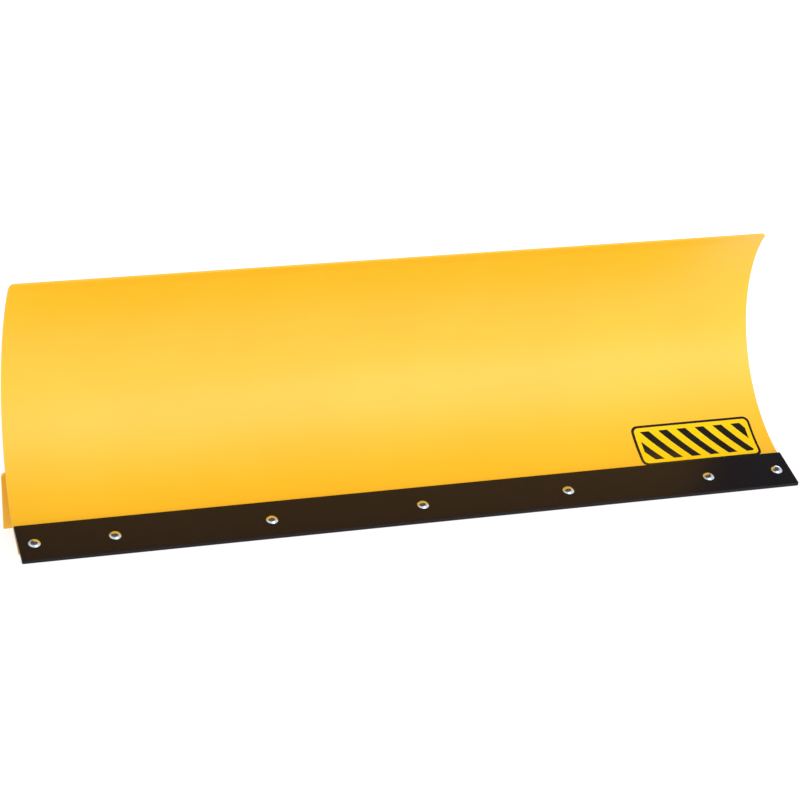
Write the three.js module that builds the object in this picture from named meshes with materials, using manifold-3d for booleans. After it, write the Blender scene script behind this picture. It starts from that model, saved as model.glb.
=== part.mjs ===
// Straight 52 inch snow plow blade for an ATV, standing on its cutting edge and two skid shoes.
// Millimetres. +X to the blade's right as seen from the front, the blade faces -Y, +Z is up.
import * as THREE from 'three';
import { mergeVertices } from 'three/addons/utils/BufferGeometryUtils.js';
import Module from 'manifold-3d';

const wasm = await Module();
wasm.setup();

const rad = THREE.MathUtils.degToRad;

// ---------- driving dimensions ----------
const INCH = 25.4;
const GAP = 0.3; // paint and fit-up gap between neighbouring pieces
const BLADE_WIDTH = 52 * INCH;

// cutting edge and the flat flange behind it
const FLANGE_SLOPE = rad(24); // slope of the cutting edge above the ground
const BAR_HEIGHT = 3.25 * INCH;
const BAR_THICKNESS = 0.25 * INCH;
const BOLT_ROW = 1.5 * INCH; // height of the bolt row up the bar
const BOLT_END_MARGIN = 1 * INCH;
const BOLT_END_PITCH = 5 * INCH;
const BOLT_PITCH = 10 * INCH;
const SQUARE_HOLE = 10.2;
const BOLT_HEAD_RADIUS = 10.5;
const BOLT_HEAD_HEIGHT = 5.3;
const BOLT_LENGTH = 22;
const BOLT_SHANK = 4.65; // plain, at the root of the thread it stands for
const BOLT_NECK = 9.5; // square
const BOLT_NECK_DEPTH = 6.1;
const BOLT_TIP_CHAMFER = 0.8;
const NUT_ACROSS_FLATS = 14.3;
const NUT_HEIGHT = 8.7;
const NUT_CHAMFER = 0.8;
const NUT_FLANGE_RADIUS = 9.8;
const NUT_FLANGE_EDGE = 1.6;
const NUT_FLANGE_HEIGHT = 3.2;
const NUT_BORE = BOLT_SHANK + GAP;

// moldboard sheet
const SHEET_THICKNESS = 3; // 11 gauge
const BAR_CLEARANCE = 0.55; // bar to flange, so the start of the curve stays clear of the bar's top edge
const FLANGE_START = 26; // lower end of the flange, measured up the bar
const FLANGE_END = 72; // where the curve starts
const CURVE_RADIUS = 229;
const CURVE_SWEEP = rad(107);
const TOP_FLAT = 12;
const LIP_LENGTH = 23.2;
const LIP_BEND = rad(9);
const LIP_CORNER = 8;
const SHEET_HEIGHT = 412;
const SHEET_MARGIN = 1.5; // the sheet's lower end stands past the bar's end
const END_TAPER = 0.75 * INCH; // each end leans in by this much over the sheet's height

// rear angle that closes the back of the curve; the parked blade rests on its lower edge
const ANGLE_THICKNESS = 4;
const WEB_BACK_Y = 186.5;
const WEB_BOTTOM_Z = 0.8;
const WEB_TOP_Z = 91.5;
const SHELF_SLOPE = rad(21.5); // the top flange rises towards the sheet
const ANGLE_BEND_RADIUS = 5;
const SHELF_INSET = 2; // the shelf's edge stays this far off the sheet

// plates welded to the back
const RIB_THICKNESS = 4.8;
const RIB_CENTRES = [-600, -375, -149, 149, 375, 600];
const RIB_BACK_RADIUS = 273;
const RIB_FULL_DEPTH = rad(84); // from here up the ribs have their full depth
const RIB_TOP_BACK = rad(112);
const RIB_TOP_FRONT = rad(121);
const SPRING_HOLE_RADIUS = 5.5;
const SPRING_HOLE_TANGENTS = [rad(96), rad(101), rad(106)];
const SPRING_HOLE_INSET = 16; // from the rib's back edge
const SPRING_RIB_X = 149; // the two ribs over the pivot ears carry the spring holes
const GUSSET_FOOT = rad(33);
const GUSSET_FOOT_Z = 14;
const EAR_THICKNESS = 6.35;
const EAR_CENTRES = [-207, -149, 149, 207];
const EAR_RADIUS = 26;
const EAR_WRAP = rad(100); // how far the round end runs each side of its rear
const EAR_FLARE = 8; // the ear is this much taller each way where it meets the web
const EAR_HOLE_RADIUS = 6.5;
const EAR_PIN_Z = 48;
const EAR_REACH = 40; // web to the middle of the pin hole

// skid shoes
const SKID_X = 487;
const SKID_STANDOFF = 34; // web to the front of the sleeve
const BRACKET_THICKNESS = 6.35;
const BRACKET_FOOT_Z = 16;
const BRACKET_TOP_Z = 86;
const STEM_RADIUS = 0.375 * INCH;
const STEM_CHAMFER = 2;
const SLEEVE_RADIUS = 0.625 * INCH;
const SLEEVE_BORE = STEM_RADIUS + 0.4;
const FOOT_RADIUS = 46;
const FOOT_FLAT_RADIUS = 31;
const FOOT_THICKNESS = 5;
const FOOT_RISE = 9;
const SPACER_HEIGHT = 9.5;
const LOWER_SPACERS = 3;
const UPPER_SPACERS = 2;
const SLEEVE_TOP_Z = 96;
const DROP_TRAVEL = 20;
const PIN_RADIUS = 0.125 * INCH;
const PIN_HEAD_RADIUS = 6.5;
const PIN_HEAD_X = -17;
const PIN_TIP_X = 18;
const PIN_TIP_TAPER = 2.5;
const RING_RADIUS = 21;
const RING_WIRE = 1.5;
const RING_END_GAP = 3; // each wire end to the middle of the pin's head
const RING_CORNER = 3.5;
const STEM_ABOVE_PIN = 12;

// warning label on the front of the curve
const LABEL_WIDTH = 222;
const LABEL_HEIGHT = 84;
const LABEL_CENTRE_X = 521;
const LABEL_CENTRE_ARC = 57; // up the curve from its start
const LABEL_THICKNESS = 0.4;
const LABEL_CORNER = 12;

// ---------- derived places, in the (y, z) plane before centring ----------
const along = (angle, length) => new THREE.Vector2(Math.cos(angle), Math.sin(angle)).multiplyScalar(length);
const FLANGE_ORIGIN = along(FLANGE_SLOPE - Math.PI / 2, BAR_CLEARANCE);
const CURVE_START = FLANGE_ORIGIN.clone().add(along(FLANGE_SLOPE, FLANGE_END));
const CURVE_CENTRE = CURVE_START.clone().add(along(FLANGE_SLOPE + Math.PI / 2, CURVE_RADIUS));
const onCurve = (radius, tangent) => CURVE_CENTRE.clone().add(along(tangent - Math.PI / 2, radius));
const SHEET_BACK = CURVE_RADIUS + SHEET_THICKNESS + GAP;
const SKID_Y = WEB_BACK_Y + SKID_STANDOFF + SLEEVE_RADIUS;
const SLEEVE_BOTTOM_Z = FOOT_THICKNESS + GAP + LOWER_SPACERS * (SPACER_HEIGHT + GAP);
const UPPER_STACK_TOP = SLEEVE_TOP_Z + UPPER_SPACERS * (SPACER_HEIGHT + GAP);
const PIN_Z = UPPER_STACK_TOP + DROP_TRAVEL + PIN_HEAD_RADIUS + GAP;
const FRONT_Y = -BAR_THICKNESS * Math.sin(FLANGE_SLOPE);
const BACK_Y = SKID_Y + FOOT_RADIUS;
const ORIGIN_Y = (FRONT_Y + BACK_Y) / 2;

// ---------- finishes ----------
const YELLOW = { color: 0xfcbc34, roughness: 0.42, metalness: 0 };
const BLACK = { color: 0x231f1c, roughness: 0.55, metalness: 0.2 };
const ZINC = { color: 0xc4c8cc, roughness: 0.28, metalness: 1 };
const LABEL = { color: 0xf2d21a, roughness: 0.35, metalness: 0 };

const root = new THREE.Group();
root.position.y = -ORIGIN_Y;

function addPiece(parent, name, geometry, finish) {
  const mesh = new THREE.Mesh(geometry, new THREE.MeshStandardMaterial(finish));
  mesh.name = name;
  parent.add(mesh);
  return mesh;
}

// ---------- geometry helpers ----------
// Welds a three.js geometry into bare shared vertices, with its faces pointing out.
function weld(geometry) {
  const bare = geometry.clone();
  bare.deleteAttribute('normal');
  bare.deleteAttribute('uv');
  const merged = mergeVertices(bare, 1e-4);
  const position = merged.attributes.position;
  const source = merged.index.array;
  const triangles = [];
  let volume = 0;
  const [a, b, c] = [new THREE.Vector3(), new THREE.Vector3(), new THREE.Vector3()];
  for (let i = 0; i < source.length; i += 3) {
    const [p, q, r] = [source[i], source[i + 1], source[i + 2]];
    if (p === q || q === r || r === p) continue;
    triangles.push(p, q, r);
    a.fromBufferAttribute(position, p);
    b.fromBufferAttribute(position, q);
    c.fromBufferAttribute(position, r);
    volume += a.dot(b.cross(c));
  }
  if (volume < 0) triangles.reverse();
  merged.setIndex(triangles);
  return merged;
}

function toSolid(geometry) {
  const bare = weld(geometry);
  return new wasm.Manifold(new wasm.Mesh({
    numProp: 3,
    vertProperties: new Float32Array(bare.attributes.position.array),
    triVerts: new Uint32Array(bare.index.array),
  }));
}

function toGeometry(solid) {
  const mesh = solid.getMesh();
  const geometry = new THREE.BufferGeometry();
  geometry.setAttribute('position', new THREE.BufferAttribute(mesh.vertProperties, 3));
  geometry.setIndex(new THREE.BufferAttribute(mesh.triVerts, 1));
  return geometry;
}

function cut(geometry, ...tools) {
  const solid = tools.reduce((body, tool) => body.subtract(toSolid(tool)), toSolid(geometry));
  return toGeometry(solid);
}

// Extrudes an outline drawn in (y, z) along X, centred on x.
function plate(shape, thickness, x = 0) {
  const options = { depth: thickness, bevelEnabled: false, curveSegments: 10 };
  const geometry = new THREE.ExtrudeGeometry(shape, options);
  geometry.translate(0, 0, -thickness / 2);
  geometry.applyMatrix4(new THREE.Matrix4().makeBasis(
    new THREE.Vector3(0, 1, 0), new THREE.Vector3(0, 0, 1), new THREE.Vector3(1, 0, 0)));
  geometry.translate(x, 0, 0);
  return weld(geometry);
}

// Turns a closed (radius, z) profile about Z.
function turn(profile, segments = 16) {
  const points = profile.map(([r, z]) => new THREE.Vector2(r, z));
  const geometry = new THREE.LatheGeometry(points, segments);
  geometry.rotateX(Math.PI / 2);
  return weld(geometry);
}

// The sheet outline between a path and the same path pushed aside by a thickness.
function sheetOutline(path, thickness) {
  const normals = path.slice(1).map((point, i) => {
    const step = point.clone().sub(path[i]).normalize();
    return new THREE.Vector2(step.y, -step.x);
  });
  const back = path.map((point, i) => {
    const before = normals[Math.max(i - 1, 0)];
    const after = normals[Math.min(i, normals.length - 1)];
    const mitre = before.clone().add(after).normalize();
    return point.clone().addScaledVector(mitre, thickness / mitre.dot(after));
  });
  return new THREE.Shape([...path, ...back.reverse()]);
}

function arcPoints(radius, from, to, steps) {
  return Array.from({ length: steps + 1 }, (_, i) => onCurve(radius, from + (to - from) * i / steps));
}

function boltPositions() {
  const half = BLADE_WIDTH / 2;
  const ends = [half - BOLT_END_MARGIN, half - BOLT_END_MARGIN - BOLT_END_PITCH];
  return [-ends[0], -ends[1], -BOLT_PITCH, 0, BOLT_PITCH, ends[1], ends[0]];
}

// A square hole through the bar and the flange, in the flange's own plane.
function squareHole(x) {
  const tool = new THREE.BoxGeometry(SQUARE_HOLE, SQUARE_HOLE, 40);
  tool.translate(x, BOLT_ROW, 0);
  return tool;
}

// ---------- moldboard ----------
// The sheet's outline seen from the front: the ends lean in and the top corners are rounded.
function sheetFrontOutline() {
  const halfWidth = (z) => BLADE_WIDTH / 2 + SHEET_MARGIN - END_TAPER * z / SHEET_HEIGHT;
  const top = onCurve(CURVE_RADIUS, FLANGE_SLOPE + CURVE_SWEEP)
    .add(along(FLANGE_SLOPE + CURVE_SWEEP, TOP_FLAT))
    .add(along(FLANGE_SLOPE + CURVE_SWEEP + LIP_BEND, LIP_LENGTH)).y + SHEET_THICKNESS;
  const shape = new THREE.Shape();
  shape.moveTo(-halfWidth(0), 0);
  shape.lineTo(halfWidth(0), 0);
  shape.lineTo(halfWidth(top - LIP_CORNER), top - LIP_CORNER);
  shape.quadraticCurveTo(halfWidth(top), top, halfWidth(top) - LIP_CORNER, top);
  shape.lineTo(LIP_CORNER - halfWidth(top), top);
  shape.quadraticCurveTo(-halfWidth(top), top, -halfWidth(top - LIP_CORNER), top - LIP_CORNER);
  shape.closePath();
  return shape;
}

function makeMoldboard() {
  const end = FLANGE_SLOPE + CURVE_SWEEP;
  const path = [
    FLANGE_ORIGIN.clone().add(along(FLANGE_SLOPE, FLANGE_START)),
    ...arcPoints(CURVE_RADIUS, FLANGE_SLOPE, end, 40),
  ];
  path.push(path.at(-1).clone().add(along(end, TOP_FLAT)));
  path.push(path.at(-1).clone().add(along(end + LIP_BEND, LIP_LENGTH)));
  const sheet = plate(sheetOutline(path, SHEET_THICKNESS), 2 * BLADE_WIDTH);
  const depth = 2 * CURVE_RADIUS;
  const options = { depth, bevelEnabled: false, curveSegments: 5 };
  const front = new THREE.ExtrudeGeometry(sheetFrontOutline(), options);
  front.rotateX(Math.PI / 2);
  front.translate(0, depth, 0);
  const trimmed = toSolid(sheet).intersect(toSolid(front));
  const holes = boltPositions().map((x) => squareHole(x).rotateX(FLANGE_SLOPE));
  const drilled = holes.reduce((solid, hole) => solid.subtract(toSolid(hole)), trimmed);
  addPiece(root, 'moldboard', toGeometry(drilled), YELLOW);
}

// ---------- wear bar with its bolts and nuts ----------
// The head's seat is at z = 0 and the shank points down.
function carriageBolt() {
  const domeRadius = (BOLT_HEAD_RADIUS ** 2 + BOLT_HEAD_HEIGHT ** 2) / (2 * BOLT_HEAD_HEIGHT);
  const dome = [];
  const steps = 4;
  const half = Math.asin(BOLT_HEAD_RADIUS / domeRadius);
  for (let i = 0; i <= steps; i++) {
    const angle = half * (1 - i / steps);
    dome.push([domeRadius * Math.sin(angle), domeRadius * (Math.cos(angle) - 1) + BOLT_HEAD_HEIGHT]);
  }
  dome[0] = [BOLT_HEAD_RADIUS, 0];
  dome[steps] = [0, BOLT_HEAD_HEIGHT];
  const shank = [
    [0, -BOLT_LENGTH],
    [BOLT_SHANK - BOLT_TIP_CHAMFER, -BOLT_LENGTH],
    [BOLT_SHANK, BOLT_TIP_CHAMFER - BOLT_LENGTH],
    [BOLT_SHANK, 0],
  ];
  const neck = new THREE.BoxGeometry(BOLT_NECK, BOLT_NECK, BOLT_NECK_DEPTH + GAP);
  neck.translate(0, 0, (GAP - BOLT_NECK_DEPTH) / 2);
  return toGeometry(toSolid(turn([...shank, ...dome])).add(toSolid(neck)));
}

// The flange's seat is at z = 0 and the nut points down.
function flangeNut() {
  const corner = NUT_ACROSS_FLATS / Math.sqrt(3);
  const hex = turn([
    [0, -NUT_HEIGHT],
    [corner - NUT_CHAMFER, -NUT_HEIGHT],
    [corner, NUT_CHAMFER - NUT_HEIGHT],
    [corner, -NUT_FLANGE_EDGE / 2],
    [0, -NUT_FLANGE_EDGE / 2],
  ], 6);
  const flange = turn([
    [0, -NUT_FLANGE_HEIGHT],
    [NUT_ACROSS_FLATS / 2, -NUT_FLANGE_HEIGHT],
    [NUT_FLANGE_RADIUS, -NUT_FLANGE_EDGE],
    [NUT_FLANGE_RADIUS, 0],
    [0, 0],
  ]);
  const bore = new THREE.CylinderGeometry(NUT_BORE, NUT_BORE, 4 * NUT_HEIGHT, 16).rotateX(Math.PI / 2);
  return toGeometry(toSolid(hex).add(toSolid(flange)).subtract(toSolid(bore)));
}

function makeCuttingEdge() {
  const edge = new THREE.Group();
  edge.rotation.x = FLANGE_SLOPE;
  root.add(edge);
  const bar = new THREE.BoxGeometry(BLADE_WIDTH, BAR_HEIGHT, BAR_THICKNESS);
  bar.translate(0, BAR_HEIGHT / 2, BAR_THICKNESS / 2);
  addPiece(edge, 'wear_bar', cut(bar, ...boltPositions().map(squareHole)), BLACK);
  boltPositions().forEach((x, i) => {
    const bolt = addPiece(edge, `carriage_bolt_${i + 1}`, carriageBolt(), ZINC);
    bolt.position.set(x, BOLT_ROW, BAR_THICKNESS + GAP);
    const nut = addPiece(edge, `flange_nut_${i + 1}`, flangeNut(), ZINC);
    nut.position.set(x, BOLT_ROW, -BAR_CLEARANCE - SHEET_THICKNESS - GAP);
  });
}

// ---------- rear angle, ribs, gussets and pivot ears ----------
const shelfZ = (y) => WEB_TOP_Z + (WEB_BACK_Y - y) * Math.tan(SHELF_SLOPE);

// Where the line under or over the sloping shelf, lifted by dz, meets the back of the sheet.
function shelfMeetsSheet(dz) {
  let y = WEB_BACK_Y;
  for (let i = 0; i < 30; i++) {
    const rise = CURVE_CENTRE.y - (shelfZ(y) + dz);
    y = CURVE_CENTRE.x + Math.sqrt(SHEET_BACK ** 2 - rise ** 2);
  }
  return new THREE.Vector2(y, shelfZ(y) + dz);
}

function makeRearAngle() {
  const corner = new THREE.Vector2(WEB_BACK_Y, WEB_TOP_Z);
  const turnAngle = Math.PI / 2 - SHELF_SLOPE;
  const setback = ANGLE_BEND_RADIUS * Math.tan(turnAngle / 2);
  const centre = new THREE.Vector2(WEB_BACK_Y - ANGLE_BEND_RADIUS, WEB_TOP_Z - setback);
  const steps = 6;
  const bend = [];
  for (let i = steps; i >= 0; i--) {
    bend.push(centre.clone().add(along(turnAngle * i / steps, ANGLE_BEND_RADIUS)));
  }
  const tip = shelfMeetsSheet(0);
  const inset = new THREE.Vector2().subVectors(corner, tip).setLength(SHELF_INSET);
  const path = [tip.add(inset), ...bend, new THREE.Vector2(WEB_BACK_Y, WEB_BOTTOM_Z)];
  addPiece(root, 'rear_angle', plate(sheetOutline(path, ANGLE_THICKNESS), BLADE_WIDTH), YELLOW);
}

const tangentAt = (point) => Math.atan2(point.x - CURVE_CENTRE.x, CURVE_CENTRE.y - point.y);

// A rib stands on the shelf and follows the sheet; it deepens upwards from the shelf's width.
function makeRib(name, x) {
  const heelY = WEB_BACK_Y - ANGLE_BEND_RADIUS;
  const heel = new THREE.Vector2(heelY, shelfZ(heelY) + GAP);
  const heelTangent = tangentAt(heel);
  const heelRadius = heel.distanceTo(CURVE_CENTRE);
  const back = [];
  const steps = 14;
  for (let i = 0; i <= steps; i++) {
    const tangent = heelTangent + (RIB_TOP_BACK - heelTangent) * i / steps;
    const grown = THREE.MathUtils.smoothstep(tangent, heelTangent, RIB_FULL_DEPTH);
    back.push(onCurve(heelRadius + (RIB_BACK_RADIUS - heelRadius) * grown, tangent));
  }
  const toe = shelfMeetsSheet(GAP);
  const shape = new THREE.Shape([...back, ...arcPoints(SHEET_BACK, RIB_TOP_FRONT, tangentAt(toe), 22)]);
  const holes = Math.abs(x) === SPRING_RIB_X ? SPRING_HOLE_TANGENTS : [];
  for (const tangent of holes) {
    const centre = onCurve(RIB_BACK_RADIUS - SPRING_HOLE_INSET, tangent);
    shape.holes.push(new THREE.Path().absarc(centre.x, centre.y, SPRING_HOLE_RADIUS, 0, 2 * Math.PI, true));
  }
  addPiece(root, name, plate(shape, RIB_THICKNESS, x), YELLOW);
}

// Closes the corner between the sheet, the shelf and the web.
function makeGusset(name, x) {
  const under = -ANGLE_THICKNESS / Math.cos(SHELF_SLOPE) - GAP;
  const top = shelfMeetsSheet(under);
  const backY = WEB_BACK_Y - ANGLE_THICKNESS - GAP;
  const innerY = backY - ANGLE_BEND_RADIUS;
  const shape = new THREE.Shape([
    ...arcPoints(SHEET_BACK, tangentAt(top), GUSSET_FOOT, 6),
    new THREE.Vector2(backY, GUSSET_FOOT_Z),
    new THREE.Vector2(backY, shelfZ(backY) + under - ANGLE_BEND_RADIUS),
    new THREE.Vector2(innerY, shelfZ(innerY) + under),
  ]);
  addPiece(root, name, plate(shape, RIB_THICKNESS, x), YELLOW);
}

function makePivotEar(name, x) {
  const front = WEB_BACK_Y + GAP;
  const centre = new THREE.Vector2(WEB_BACK_Y + EAR_REACH, EAR_PIN_Z);
  const shape = new THREE.Shape();
  shape.moveTo(front, EAR_PIN_Z - EAR_RADIUS - EAR_FLARE);
  shape.absarc(centre.x, centre.y, EAR_RADIUS, -EAR_WRAP, EAR_WRAP, false);
  shape.lineTo(front, EAR_PIN_Z + EAR_RADIUS + EAR_FLARE);
  shape.closePath();
  shape.holes.push(new THREE.Path().absarc(centre.x, centre.y, EAR_HOLE_RADIUS, 0, 2 * Math.PI, true));
  addPiece(root, name, plate(shape, EAR_THICKNESS, x), YELLOW);
}

// ---------- skid shoes ----------
function ring(inner, outer, bottom, top) {
  const corners = [[inner, bottom], [outer, bottom], [outer, top], [inner, top], [inner, bottom]];
  return turn(corners);
}

function footDish() {
  const rim = FOOT_RADIUS - FOOT_FLAT_RADIUS;
  const steps = 3;
  const outer = [];
  const inner = [];
  for (let i = 0; i <= steps; i++) {
    const t = i / steps;
    outer.push([FOOT_FLAT_RADIUS + rim * t, FOOT_RISE * t * t]);
    inner.push([FOOT_FLAT_RADIUS - 2 + (rim + 1.5) * t, FOOT_THICKNESS + FOOT_RISE * t * t]);
  }
  return turn([[0, 0], ...outer, ...inner.reverse(), [0, FOOT_THICKNESS]], 32);
}

function stem() {
  const top = PIN_Z + STEM_ABOVE_PIN;
  const bottom = FOOT_THICKNESS + GAP;
  const crossHole = new THREE.CylinderGeometry(PIN_RADIUS + GAP, PIN_RADIUS + GAP, 4 * STEM_RADIUS, 12);
  crossHole.rotateZ(Math.PI / 2);
  crossHole.translate(0, 0, PIN_Z);
  const body = turn([
    [0, bottom],
    [STEM_RADIUS, bottom],
    [STEM_RADIUS, top - STEM_CHAMFER],
    [STEM_RADIUS - STEM_CHAMFER, top],
    [0, top],
  ]);
  return cut(body, crossHole);
}

// A pin along X with a round head, cross-drilled for the ends of its ring.
function lynchPin() {
  const neck = Math.sqrt(PIN_HEAD_RADIUS ** 2 - PIN_RADIUS ** 2);
  const profile = [[0, PIN_HEAD_X - PIN_HEAD_RADIUS]];
  const start = Math.atan2(PIN_RADIUS, neck);
  const steps = 6;
  for (let i = 1; i <= steps; i++) {
    const angle = Math.PI - (Math.PI - start) * i / steps;
    profile.push([PIN_HEAD_RADIUS * Math.sin(angle), PIN_HEAD_X + PIN_HEAD_RADIUS * Math.cos(angle)]);
  }
  profile.push([PIN_RADIUS, PIN_TIP_X - PIN_TIP_TAPER], [PIN_RADIUS / 2, PIN_TIP_X], [0, PIN_TIP_X]);
  const body = turn(profile, 12).rotateY(Math.PI / 2);
  const crossHole = new THREE.CylinderGeometry(RING_WIRE + GAP, RING_WIRE + GAP, 4 * PIN_HEAD_RADIUS, 10);
  crossHole.translate(PIN_HEAD_X, 0, 0);
  return cut(body, crossHole);
}

// The wire ring that snaps round the tip; its two ends turn in towards the pin's head.
function lynchRing() {
  const open = Math.acos(PIN_HEAD_X / RING_RADIUS);
  const corner = RING_RADIUS * Math.sin(open) - RING_CORNER;
  const first = open - rad(8);
  const steps = 16;
  const points = [new THREE.Vector3(PIN_HEAD_X, RING_END_GAP, 0), new THREE.Vector3(PIN_HEAD_X, corner, 0)];
  for (let i = 0; i <= steps; i++) {
    const angle = first * (1 - 2 * i / steps);
    points.push(new THREE.Vector3(RING_RADIUS * Math.cos(angle), RING_RADIUS * Math.sin(angle), 0));
  }
  points.push(new THREE.Vector3(PIN_HEAD_X, -corner, 0), new THREE.Vector3(PIN_HEAD_X, -RING_END_GAP, 0));
  const path = new THREE.CatmullRomCurve3(points, false, 'centripetal');
  const section = new THREE.Shape().absarc(0, 0, RING_WIRE, 0, 2 * Math.PI, false);
  return weld(new THREE.ExtrudeGeometry(section, { steps: 36, curveSegments: 3, extrudePath: path }));
}

// The plate that holds the sleeve off the web.
function skidBracket() {
  const front = GAP - SKID_STANDOFF - SLEEVE_RADIUS;
  const back = -SLEEVE_RADIUS - GAP;
  return plate(new THREE.Shape([
    new THREE.Vector2(front, BRACKET_FOOT_Z),
    new THREE.Vector2(back, SLEEVE_BOTTOM_Z),
    new THREE.Vector2(back, BRACKET_TOP_Z),
    new THREE.Vector2(front, BRACKET_TOP_Z),
  ]), BRACKET_THICKNESS);
}

function makeSkid(side, x) {
  const skid = new THREE.Group();
  skid.position.set(x, SKID_Y, 0);
  root.add(skid);
  addPiece(skid, `skid_bracket_${side}`, skidBracket(), YELLOW);
  const sleeve = ring(SLEEVE_BORE, SLEEVE_RADIUS, SLEEVE_BOTTOM_Z, SLEEVE_TOP_Z);
  addPiece(skid, `skid_sleeve_${side}`, sleeve, YELLOW);
  addPiece(skid, `skid_foot_${side}`, footDish(), BLACK);
  addPiece(skid, `skid_stem_${side}`, stem(), BLACK);
  const spacer = ring(SLEEVE_BORE, SLEEVE_RADIUS, 0, SPACER_HEIGHT);
  for (let i = 0; i < LOWER_SPACERS; i++) {
    const mesh = addPiece(skid, `lower_spacer_${side}_${i + 1}`, spacer, ZINC);
    mesh.position.z = FOOT_THICKNESS + GAP + i * (SPACER_HEIGHT + GAP);
  }
  for (let i = 0; i < UPPER_SPACERS; i++) {
    const mesh = addPiece(skid, `upper_spacer_${side}_${i + 1}`, spacer, ZINC);
    mesh.position.z = SLEEVE_TOP_Z + GAP + i * (SPACER_HEIGHT + GAP);
  }
  addPiece(skid, `lynch_pin_${side}`, lynchPin(), ZINC).position.z = PIN_Z;
  addPiece(skid, `lynch_ring_${side}`, lynchRing(), ZINC).position.z = PIN_Z;
}

// ---------- warning label ----------
// A thin skin bent to the curve, its corners rounded.
function makeLabel() {
  const middle = FLANGE_SLOPE + LABEL_CENTRE_ARC / CURVE_RADIUS;
  const halfAngle = LABEL_HEIGHT / 2 / CURVE_RADIUS;
  const outerRadius = CURVE_RADIUS - GAP;
  const steps = 8;
  const outline = new THREE.Shape([
    ...arcPoints(outerRadius, middle - halfAngle, middle + halfAngle, steps),
    ...arcPoints(outerRadius - LABEL_THICKNESS, middle + halfAngle, middle - halfAngle, steps),
  ]);
  const skin = toSolid(plate(outline, LABEL_WIDTH, LABEL_CENTRE_X));
  const [w, h, r] = [LABEL_WIDTH / 2, LABEL_HEIGHT / 2, LABEL_CORNER];
  const rounded = new THREE.Shape();
  rounded.absarc(w - r, -h + r, r, -Math.PI / 2, 0, false);
  rounded.absarc(w - r, h - r, r, 0, Math.PI / 2, false);
  rounded.absarc(-w + r, h - r, r, Math.PI / 2, Math.PI, false);
  rounded.absarc(-w + r, -h + r, r, Math.PI, 1.5 * Math.PI, false);
  const cutter = new THREE.ExtrudeGeometry(rounded, { depth: 60, bevelEnabled: false, curveSegments: 4 });
  cutter.translate(0, 0, -30);
  cutter.rotateX(middle);
  const centre = onCurve(CURVE_RADIUS, middle);
  cutter.translate(LABEL_CENTRE_X, centre.x, centre.y);
  addPiece(root, 'hazard_label', toGeometry(skin.intersect(toSolid(cutter))), LABEL);
}

makeMoldboard();
makeCuttingEdge();
makeRearAngle();
RIB_CENTRES.forEach((x, i) => makeRib(`rib_${i + 1}`, x));
RIB_CENTRES.forEach((x, i) => makeGusset(`gusset_${i + 1}`, x));
EAR_CENTRES.forEach((x, i) => makePivotEar(`pivot_ear_${i + 1}`, x));
makeSkid('left', -SKID_X);
makeSkid('right', SKID_X);
makeLabel();

export default root;
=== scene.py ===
import math

import bmesh
import bpy
from mathutils import Matrix, Vector, noise


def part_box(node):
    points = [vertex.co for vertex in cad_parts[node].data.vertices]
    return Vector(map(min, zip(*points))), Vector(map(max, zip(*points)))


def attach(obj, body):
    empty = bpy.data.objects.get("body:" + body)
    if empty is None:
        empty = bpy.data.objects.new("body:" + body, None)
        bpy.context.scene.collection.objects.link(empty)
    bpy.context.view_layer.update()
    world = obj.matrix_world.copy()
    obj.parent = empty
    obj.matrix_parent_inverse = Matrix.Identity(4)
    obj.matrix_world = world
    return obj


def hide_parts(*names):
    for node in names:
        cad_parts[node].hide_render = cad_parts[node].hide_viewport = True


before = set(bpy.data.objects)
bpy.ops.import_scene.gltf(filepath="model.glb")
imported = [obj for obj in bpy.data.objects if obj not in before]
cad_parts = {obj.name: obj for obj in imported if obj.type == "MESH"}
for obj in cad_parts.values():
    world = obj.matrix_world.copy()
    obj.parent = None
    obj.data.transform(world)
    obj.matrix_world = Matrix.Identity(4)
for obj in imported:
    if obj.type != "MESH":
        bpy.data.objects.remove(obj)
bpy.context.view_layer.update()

rad = math.radians
MM = 0.001
SIDES = ("left", "right")


def middle(node, axis):
    """The middle of a CAD node along an axis: 0 is X, 1 is Y and 2 is Z."""
    low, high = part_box(node)
    return (low[axis] + high[axis]) / 2


def across(node):
    """A CAD node's thickness across X, and the X of its middle."""
    low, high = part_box(node)
    return high.x - low.x, (low.x + high.x) / 2


# ---------- dimensions, as in the CAD ----------
SLOPE = rad(24)
BAR_THICKNESS = 6.35 * MM
BAR_HEIGHT = 82.55 * MM
BAR_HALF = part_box("wear_bar")[1].x
ORIGIN_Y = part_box("wear_bar")[0].y + BAR_THICKNESS * math.sin(SLOPE)
BOLT_ROW = 38.1 * MM
BOLT_X = [middle(f"carriage_bolt_{i}", 0) for i in range(1, 8)]
GAP = 0.3 * MM  # between neighbouring pieces
BAR_CLEARANCE = 0.55 * MM  # between the bar and the sheet
SHEET = 3 * MM
CURVE_RADIUS = 229 * MM
SWEEP = rad(107)
FLANGE_START = 26 * MM
FLANGE_END = 72 * MM
TOP_FLAT = 12 * MM  # flat stretch between the curve and the lip
LIP = 23.2 * MM
LIP_BEND = rad(9)
LIP_EASE = 3 * MM  # the lip's bend is spread over this much on each side
SHEET_HEIGHT = 412 * MM
SHEET_MARGIN = 1.5 * MM  # the sheet's ends stand this far past the bar's
END_TAPER = 19.05 * MM  # how far each end leans in over the sheet's height
LIP_CORNER = 10 * MM
WEB_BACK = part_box("rear_angle")[1].y
ANGLE_THICKNESS = 4 * MM
WEB_TOP = 91.5 * MM
WEB_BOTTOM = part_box("rear_angle")[0].z
SHELF_SLOPE = rad(21.5)
ANGLE_BEND = 5 * MM
RIB_RADIUS = 273 * MM
SHEET_BACK = CURVE_RADIUS + SHEET + GAP
STEM_RADIUS = 9.525 * MM
SLEEVE_RADIUS = 15.875 * MM
RIBS = range(1, 7)
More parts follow.
